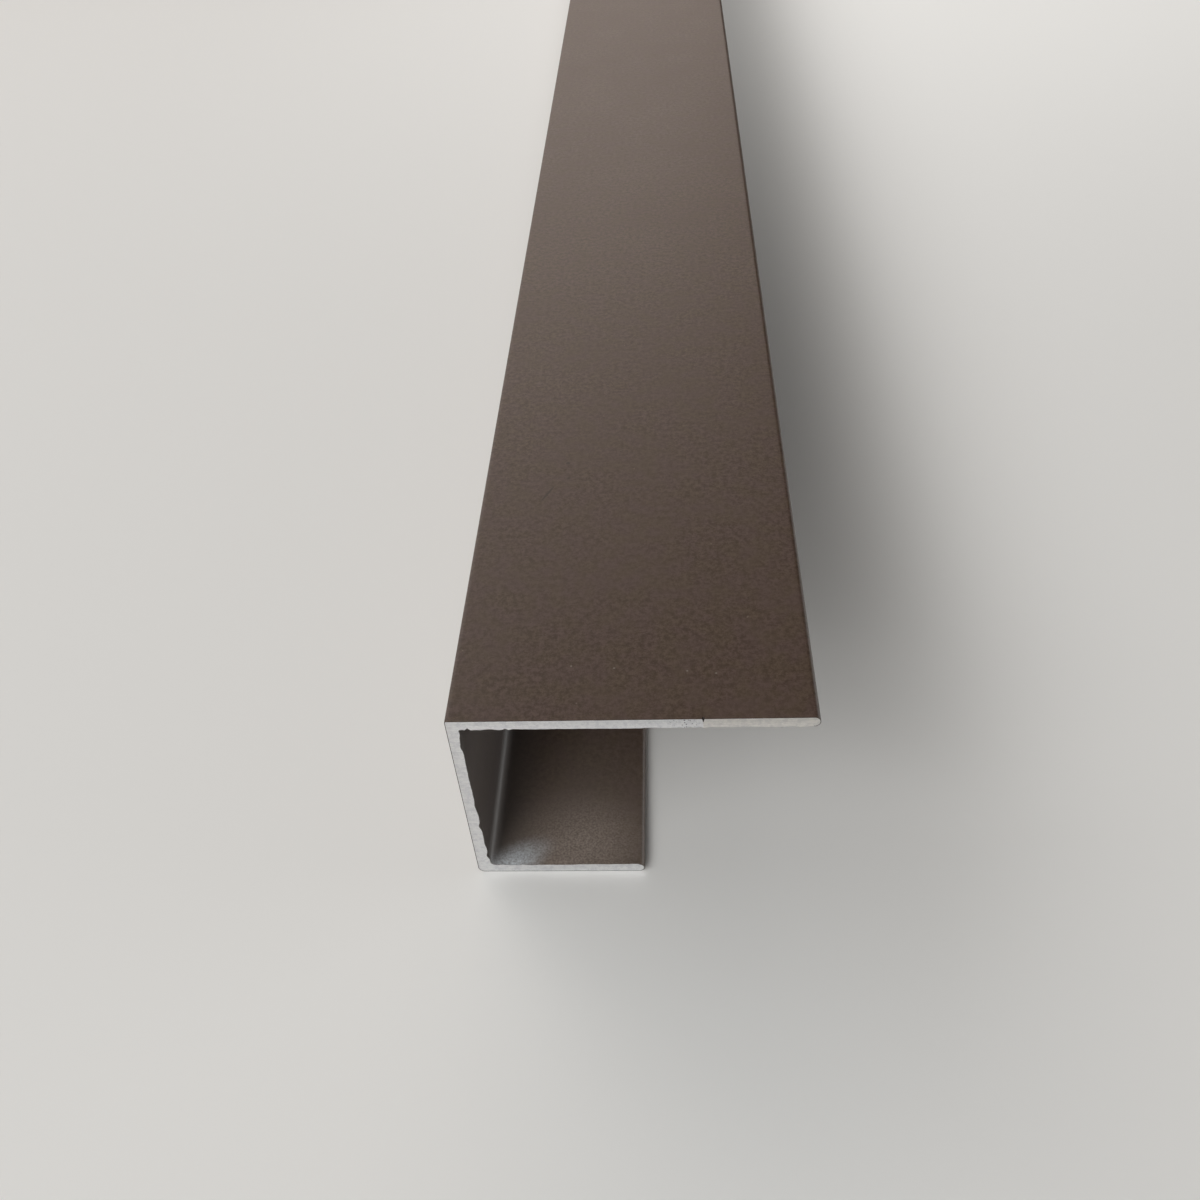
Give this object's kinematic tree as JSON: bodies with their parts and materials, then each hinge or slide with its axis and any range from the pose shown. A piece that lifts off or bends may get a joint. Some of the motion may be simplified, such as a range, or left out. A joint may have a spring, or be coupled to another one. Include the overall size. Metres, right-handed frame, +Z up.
{
  "type": "aluminium extrusion profile",
  "caption": "Long open channel extrusion with a wide top flange, an upright web and a narrower foot, powder-coated grey-brown, with bare sawn ends.",
  "frame": {"origin": "on the floor under the middle of the bar's box: half its length, half its width, at the foot's underside", "axes": "+Y along the bar, -Y is the sawn end nearest the camera in the picture; +Z up through the section from the foot to the top flange; the web's outer face looks along -X and the channel opens along +X"},
  "size_m": [0.07, 1, 0.05],
  "materials": {
    "powder_coated_aluminium": "fine satin powder coat in grey-brown, bare saw-cut metal on both end faces"
  },
  "bodies": {
    "root": {"channel_profile": "powder_coated_aluminium"}
  },
  "joints": []
}
